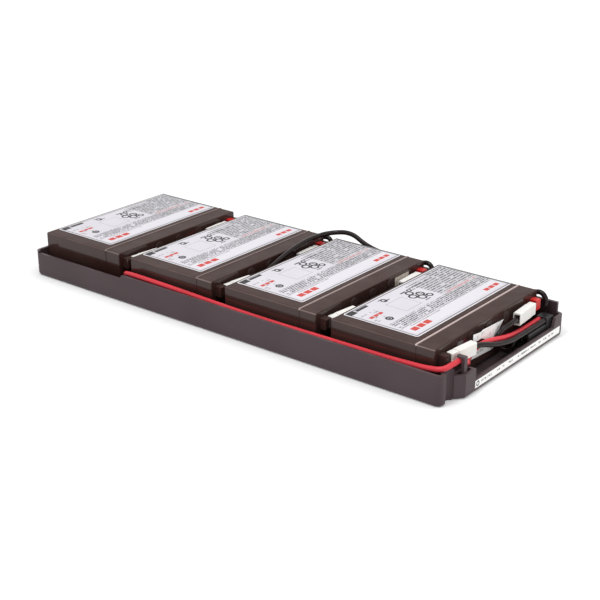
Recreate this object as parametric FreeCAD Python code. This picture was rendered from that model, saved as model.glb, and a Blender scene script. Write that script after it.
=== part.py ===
import FreeCAD, Part
import math
import os

# Battery cartridge of a rack-mounted uninterruptible supply: a shallow moulded tray that holds
# four 6 V sealed lead-acid blocks lying flat in a row, wired in series, with the output plug
# stowed in a bay at the right-hand end. Millimetres, +Z up, X along the row, front at -Y.
# The origin is the centre of the tray's underside.

V = FreeCAD.Vector

# ---- driving sizes -------------------------------------------------------------------------
BLOCKS = 4
CELLS = 3
BLOCK_H = 94.0          # base of a block to its lid face, along X
BLOCK_L = 151.0         # along Y
BLOCK_T = 34.0          # along Z, lying flat
BLOCK_GAP = 14.1        # lid face to the next block
BLOCK_EDGE = 1.6        # rounding of the long edges
LID_H = 17.0            # depth of the lid along X
SHELL = 2.2             # case and lid wall
SEAM_BEAD_W = 1.0
SEAM_BEAD_PROUD = 0.35

TRAY_WALL = 2.5
TRAY_FLOOR = 2.5
BED_RIB_H = 1.5
BED_RIB_W = 3.0
CHANNEL = 9.4           # between the blocks and the front and back walls
LEFT_CLEAR = 0.8
END_BAY = 16.9          # last lid face to the end wall
TRAY_CORNER_R = 5.0
TRAY_FOOT_R = 3.0
FRONT_WALL_H = 25.0
FRONT_LOW_H = 21.5      # front wall beside the first block
FRONT_STEP_RUN = 3.0
LEFT_WALL_H = 23.5
BACK_WALL_H = 27.0
END_WALL_H = 11.0
END_CORNER_H = 18.5
END_CORNER_L = 14.0
END_RAMP_RUN = 3.0
CORNER_SET_BACK = 5.7   # front right corner, back from the end wall
CORNER_LENGTH = 17.9
CORNER_SLANT = 7.0
SCALLOP_R = 5.5
BLOCK_POST_TOP = 19.5   # corner block beside the guide post
CORNER_BLOCK_L = 21.0
CORNER_BLOCK_W = 9.2
POCKET_X = 3.6
POCKET_Y = 6.4
POCKET_DEPTH = 9.0
POCKET_PITCH = 8.6
FENCE_T = 2.0
FENCE_L = 30.0
FENCE_TOP = 12.0
FENCE_INSET = 20.0
LOCATOR_T = 2.0
LOCATOR_TOP = 12.0
LOCATOR_INSET = 20.0

LEAD_D = 4.2
SEAT = 0.3              # running clearance between pieces that fit together

LABEL_T = 0.2
LABEL_X0 = 2.9
LABEL_X1 = 71.5
LABEL_FRONT = 12.0      # block front to the label
LABEL_BACK = 2.0        # label to the block back

TAB_T = 0.8
TAB_W = 6.35
TAB_STAND = 4.4         # lid face to the near face of the tab
TAB_REACH = 14.0        # tab length from its root, along Y
TAB_ROOT = 8.4          # block end to the middle of the tab's root
TAB_Z = 28.6
FOOT_T = 1.0
FOOT_L = 4.4
FOOT_W = 6.8
NEG_SPLAY = 6.5         # degrees by which a tab swings away from the lid
POS_SPLAY = 3.5

BASE_U = 6.2            # moulded base round a tab's root
BASE_L = 6.6
BASE_H = 8.8
BASE_R = 0.8

RECEPT_T = 2.3
RECEPT_W = 7.1
RECEPT_L = 11.0
RECEPT_IN = 1.0         # mouth of a housing to its receptacle
BARREL_R = 1.3
CRIMP_PLAY = 0.1        # tab to the inside of its receptacle
CRIMP_RIM = 0.15

HOUSING_L = 28.0
HOUSING_T = 6.2
HOUSING_H = 10.2
HOUSING_R = 0.7
NOSE_L = 7.5            # slimmer mouth end of a housing
NOSE_DROP = 0.5
SLOT_L = 20.5
SLOT_T = 2.9
SLOT_W = 7.6
WELL_L = 5.5            # open end that the lead enters
WELL_T = 5.0
WELL_W = 7.4
BORE_R = LEAD_D / 2 + SEAT
NEG_MOUTH = 12.1        # block end to the mouth of a housing
POS_MOUTH = 16.5

VENT_R = 4.6
VENT_T = 0.8
VENT_Z = 31.0
VENT_PITCH = 25.5
VALVE_R = 3.0
VALVE_L = 5.0

PLATE_T = 2.0
PLATE_GAP = 1.0
SEPARATOR_T = 0.6
PLATE_COUNT = 4         # positive plates in a cell
STRAP_T = 2.5
PLATE_HEAD = 8.0        # seam to the top of the plates
LUG_L = 4.0

PLUG_U0 = 5.9
PLUG_W = 9.6
PLUG_L = 28.0
PLUG_TOP = 15.5
PLUG_WALL = 3.4
PLUG_EDGE = 0.9
LATCH_SIDE = 3.0        # sides, front and back of the plug to its latch recess
LATCH_FRONT = 4.0
LATCH_BACK = 6.0
LATCH_DEPTH = 1.2
BOOT_L = 11.0
BOOT_LIP = 0.4          # boot above the leads that enter it
BOOT_PROUD = 0.4
BOOT_EDGE = 1.4
POLE_X = 3.6
POLE_DEPTH = 16.0
CONTACT_T = 1.2
CONTACT_W = 4.8
CONTACT_IN = 3.0        # mating face to the contacts

STICKER_T = 0.2
STICKER_Y = 43.0
STICKER_Z = 12.2
STICKER_L = 43.0
STICKER_H = 9.0
STICKER_R = 2.2
STICKER_TILT = -3.5     # degrees
TAPE_Y = 31.5           # middle of the block to the tape patch
TAPE_L = 20.0
TAPE_Z = 27.5
TAPE_H = 7.5
STRIP_RECESS = 0.2

# ---- worked out from the sizes above -------------------------------------------------------
BED_Z = TRAY_FLOOR + BED_RIB_H
PITCH = BLOCK_H + BLOCK_GAP
TRAY_L = 2 * TRAY_WALL + LEFT_CLEAR + BLOCKS * BLOCK_H + (BLOCKS - 1) * BLOCK_GAP + END_BAY
TRAY_W = BLOCK_L + 2 * (CHANNEL + TRAY_WALL)
ROW_X = -TRAY_L / 2 + TRAY_WALL + LEFT_CLEAR
ROW_Y = -BLOCK_L / 2
TOP_Z = BED_Z + BLOCK_T
TAB_U = TAB_STAND + TAB_T / 2
TAB_LOW = TAB_Z - TAB_W / 2
TAB_HIGH = TAB_Z + TAB_W / 2
ROOT_DEPTH = LID_H + PLATE_HEAD - LUG_L - STRAP_T    # lid face to the strap in the end cell
PLUG_Y1 = BLOCK_L - BOOT_L
PLUG_Y0 = PLUG_Y1 - PLUG_L
LEAD_OVER_PLUG = PLUG_TOP + SEAT + LEAD_D / 2
BOOT_TOP = LEAD_OVER_PLUG + LEAD_D / 2 + BOOT_LIP


def face_x(k):
    """X of the lid face of block k."""
    return ROW_X + k * PITCH + BLOCK_H


def box(x0, x1, y0, y1, z0, z1):
    return Part.makeBox(x1 - x0, y1 - y0, z1 - z0, V(x0, y0, z0))


def at_block(shape, k):
    """Moves a shape drawn from a lid face and the block's front to block k."""
    moved = shape.copy()
    moved.translate(V(face_x(k), ROW_Y, 0))
    return moved


def prism(points, direction):
    wire = Part.makePolygon([V(*p) for p in points] + [V(*points[0])])
    return Part.Face(wire).extrude(V(*direction))


def rounded_outline(corners, z):
    """Closed wire through (x, y, radius) corners, with tangent arcs at the radii."""
    edges = []
    joins = []
    count = len(corners)
    for i, (x, y, r) in enumerate(corners):
        here = V(x, y, z)
        if r == 0:
            joins.append((here, here))
            continue
        before = (V(*corners[i - 1][:2], z) - here).normalize()
        after = (V(*corners[(i + 1) % count][:2], z) - here).normalize()
        half = before.getAngle(after) / 2
        reach = r / math.tan(half)
        middle = (before + after).normalize() * (r / math.sin(half) - r)
        start = here + before * reach
        end = here + after * reach
        edges.append(Part.Arc(start, here + middle, end).toShape())
        joins.append((start, end))
    for i in range(count):
        a = joins[i][1]
        b = joins[(i + 1) % count][0]
        if a.distanceToPoint(b) > 1e-6:
            edges.append(Part.LineSegment(a, b).toShape())
    return Part.Wire(Part.__sortEdges__(edges))


def edges_along(shape, axis, test):
    """Straight edges of a shape that run along one axis and pass a test of their middle."""
    found = []
    for edge in shape.Edges:
        if len(edge.Vertexes) != 2:
            continue
        span = edge.Vertexes[1].Point - edge.Vertexes[0].Point
        if span.Length > 0 and abs(abs(span[axis]) - span.Length) < 1e-6:
            if test(edge.CenterOfMass):
                found.append(edge)
    return found


def lead(points, name, d=LEAD_D):
    """Round lead: straight runs joined by arcs as large as both runs allow."""
    path = [V(*p) for p in points]
    edges = []
    radii = []
    start = path[0]
    for i in range(1, len(path) - 1):
        back = path[i - 1] - path[i]
        ahead = path[i + 1] - path[i]
        half = (math.pi - back.getAngle(ahead)) / 2
        reach = 0.45 * min(back.Length, ahead.Length)
        radius = reach / math.tan(half)
        radii.append(radius)
        back.normalize()
        ahead.normalize()
        into = path[i] + back * reach
        out = path[i] + ahead * reach
        inward = (back + ahead).normalize() * (radius / math.cos(half) - radius)
        edges.append(Part.LineSegment(start, into).toShape())
        edges.append(Part.Arc(into, path[i] + inward, out).toShape())
        start = out
    edges.append(Part.LineSegment(start, path[-1]).toShape())
    spine = Part.Wire(edges)
    first = path[1] - path[0]
    ring = Part.Wire(Part.Circle(path[0], first, d / 2).toShape())
    solid = spine.makePipeShell([ring], True, False)
    swept = math.pi * d * d / 4 * spine.Length
    print(name, "length %.0f" % spine.Length, "volume ratio %.4f" % (solid.Volume / swept),
          "radii", " ".join("%.1f" % r for r in radii))
    return solid


# ---- tray ----------------------------------------------------------------------------------
def tray_outline(inset, z):
    """Plan of the tray, set in by a wall, with the stepped front right corner."""
    left = -TRAY_L / 2 + inset
    right = TRAY_L / 2 - inset
    front = -TRAY_W / 2 + inset
    back = TRAY_W / 2 - inset
    step = right - CORNER_SET_BACK
    radius = TRAY_CORNER_R - inset
    y_step = -TRAY_W / 2 + CORNER_LENGTH
    lean = inset * math.tan(math.atan2(CORNER_SET_BACK, CORNER_SLANT) / 2)
    return rounded_outline([
        (left, front, radius), (step, front, radius), (step, y_step + lean, 0),
        (right, y_step + CORNER_SLANT + lean, 0), (right, back, radius), (left, back, radius)], z)


def scallop(radius):
    """Upright groove in the front right corner."""
    x = TRAY_L / 2 - CORNER_SET_BACK + 1.0
    y = -TRAY_W / 2 + CORNER_LENGTH - SCALLOP_R
    return Part.makeCylinder(radius, BACK_WALL_H + 2, V(x, y, -1))


def tray_body():
    outer = Part.Face(tray_outline(0, 0)).extrude(V(0, 0, BACK_WALL_H))
    foot = [e for e in outer.Edges if abs(e.BoundBox.ZMax) < 1e-6]
    outer = outer.makeFillet(TRAY_FOOT_R, foot)
    inner = Part.Face(tray_outline(TRAY_WALL, TRAY_FLOOR)).extrude(V(0, 0, BACK_WALL_H))
    inner = inner.cut(scallop(SCALLOP_R + TRAY_WALL))
    return outer.cut(inner).cut(scallop(SCALLOP_R))


def wall_cuts():
    """What is above each wall's own top."""
    left = -TRAY_L / 2
    right = TRAY_L / 2
    front = -TRAY_W / 2
    back = TRAY_W / 2
    top = BACK_WALL_H + 1
    deep = TRAY_WALL + SEAT
    step_x = ROW_X + PITCH - 2.5
    corner_y = front + CORNER_LENGTH
    block_y1 = corner_y + CORNER_BLOCK_L
    low = prism([(left + TRAY_CORNER_R, front - 1, FRONT_LOW_H), (step_x, front - 1, FRONT_LOW_H),
                 (step_x + FRONT_STEP_RUN, front - 1, FRONT_WALL_H),
                 (step_x + FRONT_STEP_RUN, front - 1, top),
                 (left + TRAY_CORNER_R, front - 1, top)], (0, deep + 1, 0))
    ramp_y = back - END_CORNER_L
    end = prism([(right + 1, block_y1, top), (right + 1, block_y1, END_WALL_H),
                 (right + 1, ramp_y - END_RAMP_RUN, END_WALL_H), (right + 1, ramp_y, END_CORNER_H),
                 (right + 1, back + 1, END_CORNER_H), (right + 1, back + 1, top)],
                (-CORNER_SET_BACK - 1, 0, 0))
    return [
        low,
        end,
        box(left - 1, right + 1, front - 1, back - TRAY_CORNER_R, FRONT_WALL_H, top),
        box(left - 1, left + TRAY_CORNER_R, front - 1, back - TRAY_CORNER_R, LEFT_WALL_H, top),
        box(right - TRAY_WALL - CORNER_SET_BACK, right + 1, corner_y, block_y1,
            BLOCK_POST_TOP, top)]


def corner_block():
    """Solid corner with two pockets, and the hooked post that guides the positive lead."""
    right = TRAY_L / 2
    y0 = -TRAY_W / 2 + CORNER_LENGTH
    x0 = right - CORNER_BLOCK_W
    block = prism([(x0, y0, TRAY_FLOOR), (right - CORNER_SET_BACK, y0, TRAY_FLOOR),
                   (right - TRAY_WALL / 2, y0 + CORNER_SLANT, TRAY_FLOOR),
                   (right - TRAY_WALL / 2, y0 + CORNER_BLOCK_L, TRAY_FLOOR),
                   (x0, y0 + CORNER_BLOCK_L, TRAY_FLOOR)], (0, 0, BLOCK_POST_TOP - TRAY_FLOOR))
    pocket_y = y0 + CORNER_BLOCK_L - TRAY_WALL - POCKET_Y
    pocket_x = right - TRAY_WALL - POCKET_X
    for i in range(2):
        y = pocket_y - i * POCKET_PITCH
        block = block.cut(box(pocket_x - i, pocket_x + POCKET_X - i, y, y + POCKET_Y,
                              BLOCK_POST_TOP - POCKET_DEPTH, BLOCK_POST_TOP + 1))
    return block


POST_T = 2.6
POST_L = 4.2
POST_TOP = 33.0
POST_BACK = 7.3         # corner block's front to the guide post
POST_INSET = 2.2        # outer face of the end wall to the guide post
HOOK_T = 2.0
HOOK_REACH = 4.2


def guide_post():
    y0 = -TRAY_W / 2 + CORNER_LENGTH + POST_BACK
    x0 = TRAY_L / 2 - POST_INSET - POST_T
    post = box(x0, x0 + POST_T, y0, y0 + POST_L, BLOCK_POST_TOP - 1, POST_TOP)
    hook = box(x0 - HOOK_REACH, x0 + POST_T, y0, y0 + POST_L, POST_TOP - HOOK_T, POST_TOP)
    shape = post.fuse(hook).removeSplitter()
    tops = edges_along(shape, 0, lambda c: c.z > POST_TOP - 0.01)
    shape = shape.makeFillet(HOOK_T * 0.9, tops)
    return shape


def ribs():
    """Bed ribs under each block, locating ribs in the channels and fences in the gaps."""
    shapes = []
    inner_front = -TRAY_W / 2 + TRAY_WALL / 2
    inner_back = TRAY_W / 2 - TRAY_WALL / 2
    for k in range(BLOCKS):
        x0 = ROW_X + k * PITCH
        x1 = x0 + BLOCK_H
        for share in (0.12, 0.5, 0.88):
            y = ROW_Y + share * BLOCK_L
            shapes.append(box(x0 + 6, x1 - 6, y - BED_RIB_W / 2, y + BED_RIB_W / 2,
                              TRAY_FLOOR, BED_Z))
        for x in (x0 + LOCATOR_INSET, x1 - LOCATOR_INSET):
            shapes.append(box(x, x + LOCATOR_T, inner_front, ROW_Y - SEAT,
                              TRAY_FLOOR, LOCATOR_TOP))
            shapes.append(box(x, x + LOCATOR_T, ROW_Y + BLOCK_L + SEAT, inner_back,
                              TRAY_FLOOR, LOCATOR_TOP))
        if k + 1 < BLOCKS:
            fence_x = x1 + BLOCK_GAP - SEAT - FENCE_T
            for y in (ROW_Y + FENCE_INSET, ROW_Y + BLOCK_L - FENCE_INSET - FENCE_L):
                shapes.append(box(fence_x, fence_x + FENCE_T, y, y + FENCE_L,
                                  TRAY_FLOOR, FENCE_TOP))
    return shapes


STRIP_Y0 = -49.0
STRIP_Y1 = 81.0
STRIP_Z0 = 3.4
STRIP_Z1 = 9.4


def end_strip_space(depth):
    return box(TRAY_L / 2 - STRIP_RECESS, TRAY_L / 2 - STRIP_RECESS + depth,
               STRIP_Y0, STRIP_Y1, STRIP_Z0, STRIP_Z1)


def tray():
    shape = tray_body().fuse(corner_block())
    for cut in wall_cuts():
        shape = shape.cut(cut)
    shape = shape.fuse(ribs() + [guide_post()])
    return shape.cut(end_strip_space(STRIP_RECESS + 1)).removeSplitter()


# ---- one block, drawn from its lid face (X = 0) and its front (Y = 0) -----------------------
def case():
    seam = -LID_H
    shell = box(-BLOCK_H, seam, 0, BLOCK_L, BED_Z, TOP_Z)
    shell = shell.makeFillet(BLOCK_EDGE, edges_along(shell, 0, lambda c: True)
                             + edges_along(shell, 1, lambda c: c.x < seam - 1)
                             + edges_along(shell, 2, lambda c: c.x < seam - 1))
    cell = (BLOCK_L - (CELLS + 1) * SHELL) / CELLS
    for i in range(CELLS):
        y = SHELL + i * (cell + SHELL)
        shell = shell.cut(box(-BLOCK_H + SHELL, seam + 1, y, y + cell,
                              BED_Z + SHELL, TOP_Z - SHELL))
    return shell


def lid():
    seam = -LID_H
    shell = box(seam, 0, 0, BLOCK_L, BED_Z, TOP_Z)
    shell = shell.makeFillet(BLOCK_EDGE, edges_along(shell, 0, lambda c: True))
    shell = shell.makeChamfer(SHELL / 4, [e for e in shell.Edges if e.BoundBox.XMin > -1e-6])
    bead = box(seam, seam + SEAM_BEAD_W, -SEAM_BEAD_PROUD, BLOCK_L + SEAM_BEAD_PROUD,
               BED_Z + 1, TOP_Z + SEAM_BEAD_PROUD)
    bead = bead.makeFillet(BLOCK_EDGE, edges_along(bead, 0, lambda c: c.z > TOP_Z))
    shell = shell.fuse(bead)
    shell = shell.cut(box(seam - 1, -SHELL, SHELL, BLOCK_L - SHELL, BED_Z + SHELL, TOP_Z - SHELL))
    for y in (TAB_ROOT, BLOCK_L - TAB_ROOT):
        shell = shell.cut(box(-SHELL - 1, 1, y - TAB_T / 2 - SEAT, y + TAB_T / 2 + SEAT,
                              TAB_LOW - SEAT, TAB_HIGH + SEAT))
    for y in vent_rows():
        shell = shell.cut(Part.makeCylinder(VALVE_R + SEAT, SHELL + 2, V(-SHELL - 1, y, VENT_Z),
                                            V(1, 0, 0)))
    return shell.fuse(terminal_base(NEG_SPLAY)).removeSplitter()


def vent_rows():
    return [BLOCK_L / 2 + (i - 1) * VENT_PITCH for i in range(CELLS)]


# Each terminal is drawn at the block's front, with its tab running back; the positive one is
# the mirror image of that about the block's middle.
def splayed(shape, angle):
    """Swings a shape on a tab's line away from the lid, about the tab's root."""
    turned = shape.copy()
    turned.rotate(V(TAB_U, TAB_ROOT, 0), V(0, 0, 1), -angle)
    return turned


def at_back(shape):
    return shape.mirror(V(0, BLOCK_L / 2, 0), V(0, 1, 0))


def on_tab_line(reach, angle):
    """Point of a splayed tab's line, so far back from the block's front if it ran straight."""
    away = reach - TAB_ROOT
    turn = math.radians(angle)
    return (TAB_U + away * math.sin(turn), TAB_ROOT + away * math.cos(turn), TAB_Z)


def terminal(splay):
    """Bent blade: a foot on the lid, a root into the lid and a tab."""
    foot = box(0, FOOT_T, TAB_ROOT - FOOT_L / 2, TAB_ROOT + FOOT_L / 2,
               TAB_Z - FOOT_W / 2, TAB_Z + FOOT_W / 2)
    stem = box(-ROOT_DEPTH, TAB_STAND + TAB_T, TAB_ROOT - TAB_T / 2, TAB_ROOT + TAB_T / 2,
               TAB_LOW, TAB_HIGH)
    tab = box(TAB_STAND, TAB_STAND + TAB_T, TAB_ROOT, TAB_ROOT + TAB_REACH, TAB_LOW, TAB_HIGH)
    tip = edges_along(tab, 0, lambda c: c.y > TAB_ROOT + TAB_REACH / 2)
    tab = splayed(tab.makeFillet(TAB_W / 5, tip), splay)
    return foot.fuse([stem, tab]).removeSplitter()


def terminal_base(splay):
    """Moulded base that closes round a root and lets the tab out at its inner end."""
    base = box(0, BASE_U, TAB_ROOT - BASE_L / 2, TAB_ROOT + BASE_L / 2,
               TAB_Z - BASE_H / 2, TAB_Z + BASE_H / 2)
    base = base.makeFillet(BASE_R, edges_along(base, 1, lambda c: c.x > BASE_U / 2))
    foot = box(-1, FOOT_T + SEAT, TAB_ROOT - FOOT_L / 2 - SEAT, TAB_ROOT + FOOT_L / 2 + SEAT,
               TAB_Z - FOOT_W / 2 - SEAT, TAB_Z + FOOT_W / 2 + SEAT)
    stem = box(0, TAB_STAND + TAB_T + SEAT, TAB_ROOT - TAB_T / 2 - SEAT,
               TAB_ROOT + TAB_T / 2 + SEAT, TAB_LOW - SEAT, TAB_HIGH + SEAT)
    tab = box(TAB_STAND - SEAT, TAB_STAND + TAB_T + SEAT, TAB_ROOT - TAB_T / 2 - SEAT,
              TAB_ROOT + BASE_L, TAB_LOW - SEAT, TAB_HIGH + SEAT)
    for shape in (foot, stem, splayed(tab, splay)):
        base = base.cut(shape)
    return base.removeSplitter()


def receptacle(mouth, splay):
    """Push-on receptacle: a flat sleeve over the tab and a crimp barrel for the lead."""
    near = mouth + RECEPT_IN
    far = near + RECEPT_L
    sleeve = box(TAB_U - RECEPT_T / 2, TAB_U + RECEPT_T / 2, near, far,
                 TAB_Z - RECEPT_W / 2, TAB_Z + RECEPT_W / 2)
    inside = box(TAB_STAND - CRIMP_PLAY, TAB_STAND + TAB_T + CRIMP_PLAY, near - 1, far + 1,
                 TAB_LOW - CRIMP_RIM, TAB_HIGH + CRIMP_RIM)
    barrel = Part.makeCylinder(BARREL_R, mouth + SLOT_L - far + RECEPT_IN,
                               V(TAB_U, far - RECEPT_IN, TAB_Z), V(0, 1, 0))
    return splayed(sleeve.cut(inside).fuse(barrel).removeSplitter(), splay)


def housing(mouth, splay):
    """Insulating housing: a slimmer nose, a slot for the receptacle and a well for the lead."""
    def block(near, far, thick, high):
        return box(TAB_U - thick / 2, TAB_U + thick / 2, near, far,
                   TAB_Z - high / 2, TAB_Z + high / 2)
    rear = mouth + HOUSING_L
    stop = mouth + SLOT_L
    body = block(mouth + NOSE_L, rear, HOUSING_T, HOUSING_H)
    body = body.makeFillet(HOUSING_R, edges_along(body, 1, lambda c: True))
    nose = block(mouth, mouth + NOSE_L, HOUSING_T - NOSE_DROP, HOUSING_H - 2 * NOSE_DROP)
    shape = body.fuse(nose)
    bore = Part.makeCylinder(BORE_R, HOUSING_L - SLOT_L, V(TAB_U, stop, TAB_Z), V(0, 1, 0))
    for space in (block(mouth - 1, stop, SLOT_T, SLOT_W), bore,
                  block(rear - WELL_L, rear + 1, WELL_T, WELL_W)):
        shape = shape.cut(space)
    return splayed(shape.removeSplitter(), splay)


def label():
    sheet = box(-BLOCK_H + LABEL_X0, -BLOCK_H + LABEL_X1, LABEL_FRONT, BLOCK_L - LABEL_BACK,
                TOP_Z, TOP_Z + LABEL_T)
    return sheet.makeFillet(2.0, edges_along(sheet, 2, lambda c: True))


def cell_box(i):
    cell = (BLOCK_L - (CELLS + 1) * SHELL) / CELLS
    y0 = SHELL + i * (cell + SHELL)
    return y0, y0 + cell


def plate_groups():
    """Positive plates, negative plates and separators of the three cells."""
    positive = []
    negative = []
    separators = []
    x0 = -BLOCK_H + SHELL + SEAT + 1
    x1 = -LID_H - PLATE_HEAD
    pitch = PLATE_T + PLATE_GAP
    count = 2 * PLATE_COUNT + 1
    z0 = BED_Z + BLOCK_T / 2 - (count * pitch - PLATE_GAP) / 2
    for i in range(CELLS):
        y0, y1 = cell_box(i)
        y0 += SEAT
        y1 -= SEAT
        groups = ([], [])
        for n in range(count):
            z = z0 + n * pitch
            groups[n % 2].append(box(x0, x1, y0, y1, z, z + PLATE_T))
            if n:
                gap = (PLATE_GAP - SEPARATOR_T) / 2
                separators.append(box(x0 - 1, x1 + 1, y0, y1, z - PLATE_GAP + gap, z - gap))
        z_top = z0 + count * pitch - PLATE_GAP
        for kept, plates, low, high in ((negative, groups[0], y0 + 2, y0 + 10),
                                        (positive, groups[1], y1 - 10, y1 - 2)):
            lugs = [box(x1 - 0.5, x1 + LUG_L, low, high, p.BoundBox.ZMin, p.BoundBox.ZMax)
                    for p in plates]
            strap = box(x1 + LUG_L, x1 + LUG_L + STRAP_T, low, high, z0, z_top)
            kept.append(plates[0].fuse(plates[1:] + lugs + [strap]).removeSplitter())
    return Part.makeCompound(positive), Part.makeCompound(negative), Part.makeCompound(separators)


# ---- leads ---------------------------------------------------------------------------------
def to_block(k, points):
    return [(face_x(k) + u, ROW_Y + y, z) for u, y, z in points]


BACK = BLOCK_L + CHANNEL / 2 + 0.5      # middle of the lane behind the blocks
LEAD_OUT = 8.0                          # straight run of a lead outside its housing


def lead_ends(mouth, splay):
    """Where a lead meets its receptacle, and the end of its straight run."""
    return [on_tab_line(mouth + SLOT_L, splay),
            on_tab_line(mouth + HOUSING_L + LEAD_OUT, splay)]


OUT_OF_NEGATIVE = lead_ends(NEG_MOUTH, NEG_SPLAY)
OUT_OF_POSITIVE = [(u, BLOCK_L - y, z) for u, y, z in lead_ends(POS_MOUTH, POS_SPLAY)]

# From behind a block, round its lid corner and down into the gap, forward along the floor,
# then up in a loop and back into the positive housing.
INTO_POSITIVE = [(-14, BACK, 31.0), (2.0, BACK, 34.6), (7.2, BACK - 0.6, 27.5),
                 (2.7, BLOCK_L + 2, 15.5), (2.6, BLOCK_L - 11, 4.9), (2.6, BLOCK_L - 37, 4.9),
                 (6.6, BLOCK_L - 49.5, 5.0), (7.2, BLOCK_L - 59.5, 7.2),
                 (5.6, BLOCK_L - 68.5, 12.5), (4.3, BLOCK_L - 71.5, 20.5),
                 (6.2, BLOCK_L - 65, 27.0)] + OUT_OF_POSITIVE[::-1]

# From a negative housing back along the gap, low, to the lane behind the next block.
LOW_START = OUT_OF_NEGATIVE + [
    (10.8, 68, 22.5), (11.3, BLOCK_L - 58, 16.8), (10.8, BLOCK_L - 31, 16.6),
    (9.4, BLOCK_L - 7, 16.6),
    (13.8, BACK + 0.8, 17.0), (30, BACK + 0.4, 18.6)]
LOW_BACK = [(-42, BACK, 23.0)]

# The same, but rising over the lid and bulging above the tray's back.
HIGH_START = OUT_OF_NEGATIVE + [
    (7.2, 74, 34.8), (4.4, BLOCK_L - 50, 39.6), (3.6, BLOCK_L - 25, 41.6),
    (6.0, BLOCK_L - 2, 41.4),
    (25, BACK + 1.2, 44.0), (44, BACK - 0.4, 35.6)]
HIGH_BACK = [(-38, BACK, 30.6)]


def jumper(k, start, back, name):
    return lead(to_block(k, start) + to_block(k + 1, back + INTO_POSITIVE), name)


RED_LANE = -5.2                         # block fronts to the red lead
RED_START = OUT_OF_POSITIVE + [
    (6.4, BLOCK_L - 71, 15.5), (4.0, 56, 4.9), (4.2, 24, 6.0), (8.6, RED_LANE + 1.4, 24.4),
    (27, RED_LANE - 0.4, 25.8)]
RED_MIDDLE = [(74, RED_LANE - 0.3, 25.0), (126, RED_LANE + 0.2, 22.9),
              (178, RED_LANE - 0.1, 22.5)]
RED_END = [(-34, RED_LANE, 23.6), (-3.0, RED_LANE - 0.6, 25.4), (10.4, RED_LANE, 27.4),
           (12.1, 7.0, 28.5), (12.2, 17.0, 28.5), (12.4, 22.0, 24.5), (11.9, 27.2, 22.1),
           (8.4, 31.6, 19.0), (4.4, 35.8, 15.4), (3.0, 41.5, 16.4), (3.9, 46.5, 22.0),
           (5.8, 53.5, 25.6), (8.2, 66, 25.2), (9.6, PLUG_Y0 - 28, 21.4),
           (8.8, PLUG_Y0 - 6, LEAD_OVER_PLUG)]


def red_lead():
    end = to_block(BLOCKS - 1, RED_END + [(8.8, PLUG_Y1, LEAD_OVER_PLUG)])
    return lead(to_block(0, RED_START + RED_MIDDLE) + end, "red_lead")


BLACK_LEAD = OUT_OF_NEGATIVE + [(12.6, 66, 22.8), (14.0, PLUG_Y0 - 26, 19.0),
                                (13.3, PLUG_Y0 - 5, LEAD_OVER_PLUG)]


def black_lead():
    end = [(13.3, PLUG_Y1, LEAD_OVER_PLUG)]
    return lead(to_block(BLOCKS - 1, BLACK_LEAD + end), "black_lead")


# ---- output plug ---------------------------------------------------------------------------
def plug_poles():
    """The two contact spaces of the plug, side by side and open at the mating face."""
    shapes = []
    for i in range(2):
        x = PLUG_U0 + PLUG_W * (i + 0.5) / 2
        shapes.append(box(x - POLE_X / 2, x + POLE_X / 2, PLUG_Y0 - 1,
                          PLUG_Y0 + POLE_DEPTH, TRAY_FLOOR + PLUG_WALL, PLUG_TOP - PLUG_WALL))
    return shapes


def plug_housing():
    body = box(PLUG_U0, PLUG_U0 + PLUG_W, PLUG_Y0, PLUG_Y1, TRAY_FLOOR, PLUG_TOP)
    body = body.makeFillet(PLUG_EDGE, edges_along(body, 1, lambda c: True))
    latch = box(PLUG_U0 + LATCH_SIDE, PLUG_U0 + PLUG_W - LATCH_SIDE, PLUG_Y0 + LATCH_FRONT,
                PLUG_Y1 - LATCH_BACK, PLUG_TOP - LATCH_DEPTH, PLUG_TOP + 1)
    for shape in plug_poles() + [latch]:
        body = body.cut(shape)
    return body


def plug_boot():
    boot = box(PLUG_U0 - BOOT_PROUD, PLUG_U0 + PLUG_W + BOOT_PROUD, PLUG_Y1, PLUG_Y1 + BOOT_L,
               TRAY_FLOOR, BOOT_TOP)
    return boot.makeFillet(BOOT_EDGE, edges_along(boot, 1, lambda c: True)
                           + edges_along(boot, 0, lambda c: c.y > PLUG_Y1 + 1))


def plug_contacts():
    shapes = []
    for i in range(2):
        x = PLUG_U0 + PLUG_W * (i + 0.5) / 2
        z = (TRAY_FLOOR + PLUG_TOP) / 2
        shapes.append(box(x - CONTACT_T / 2, x + CONTACT_T / 2, PLUG_Y0 + CONTACT_IN,
                          PLUG_Y0 + POLE_DEPTH, z - CONTACT_W / 2, z + CONTACT_W / 2))
    return Part.makeCompound(shapes)


# ---- paper ---------------------------------------------------------------------------------
TAG_T = 0.3
TAG_NEAR = (5.7, 44.0)      # lid face and block front to the tag's front end
TAG_FAR = (1.9, 90.0)
TAG_EDGE = [(0, 36.4), (13.5, 34.0), (15.5, 34.8), (52, 30.6), (39, 21.0), (22, 24.6),
            (14, 28.6), (0, 29.4)]      # along the tag, height


def lead_tag():
    """Folded paper flag standing between the lid and the output leads."""
    turn = math.degrees(math.atan2(TAG_NEAR[0] - TAG_FAR[0], TAG_FAR[1] - TAG_NEAR[1]))
    flag = prism([(0, along, z) for along, z in TAG_EDGE], (-TAG_T, 0, 0))
    flag.rotate(V(0, 0, 0), V(0, 0, 1), turn)
    return flag.translate(V(*TAG_NEAR, 0))


def lid_sticker():
    sheet = box(0, STICKER_T, STICKER_Y, STICKER_Y + STICKER_L, STICKER_Z,
                STICKER_Z + STICKER_H)
    sheet = sheet.makeFillet(STICKER_R, edges_along(sheet, 0, lambda c: True))
    sheet.rotate(V(0, STICKER_Y, STICKER_Z), V(1, 0, 0), STICKER_TILT)
    return sheet


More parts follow.
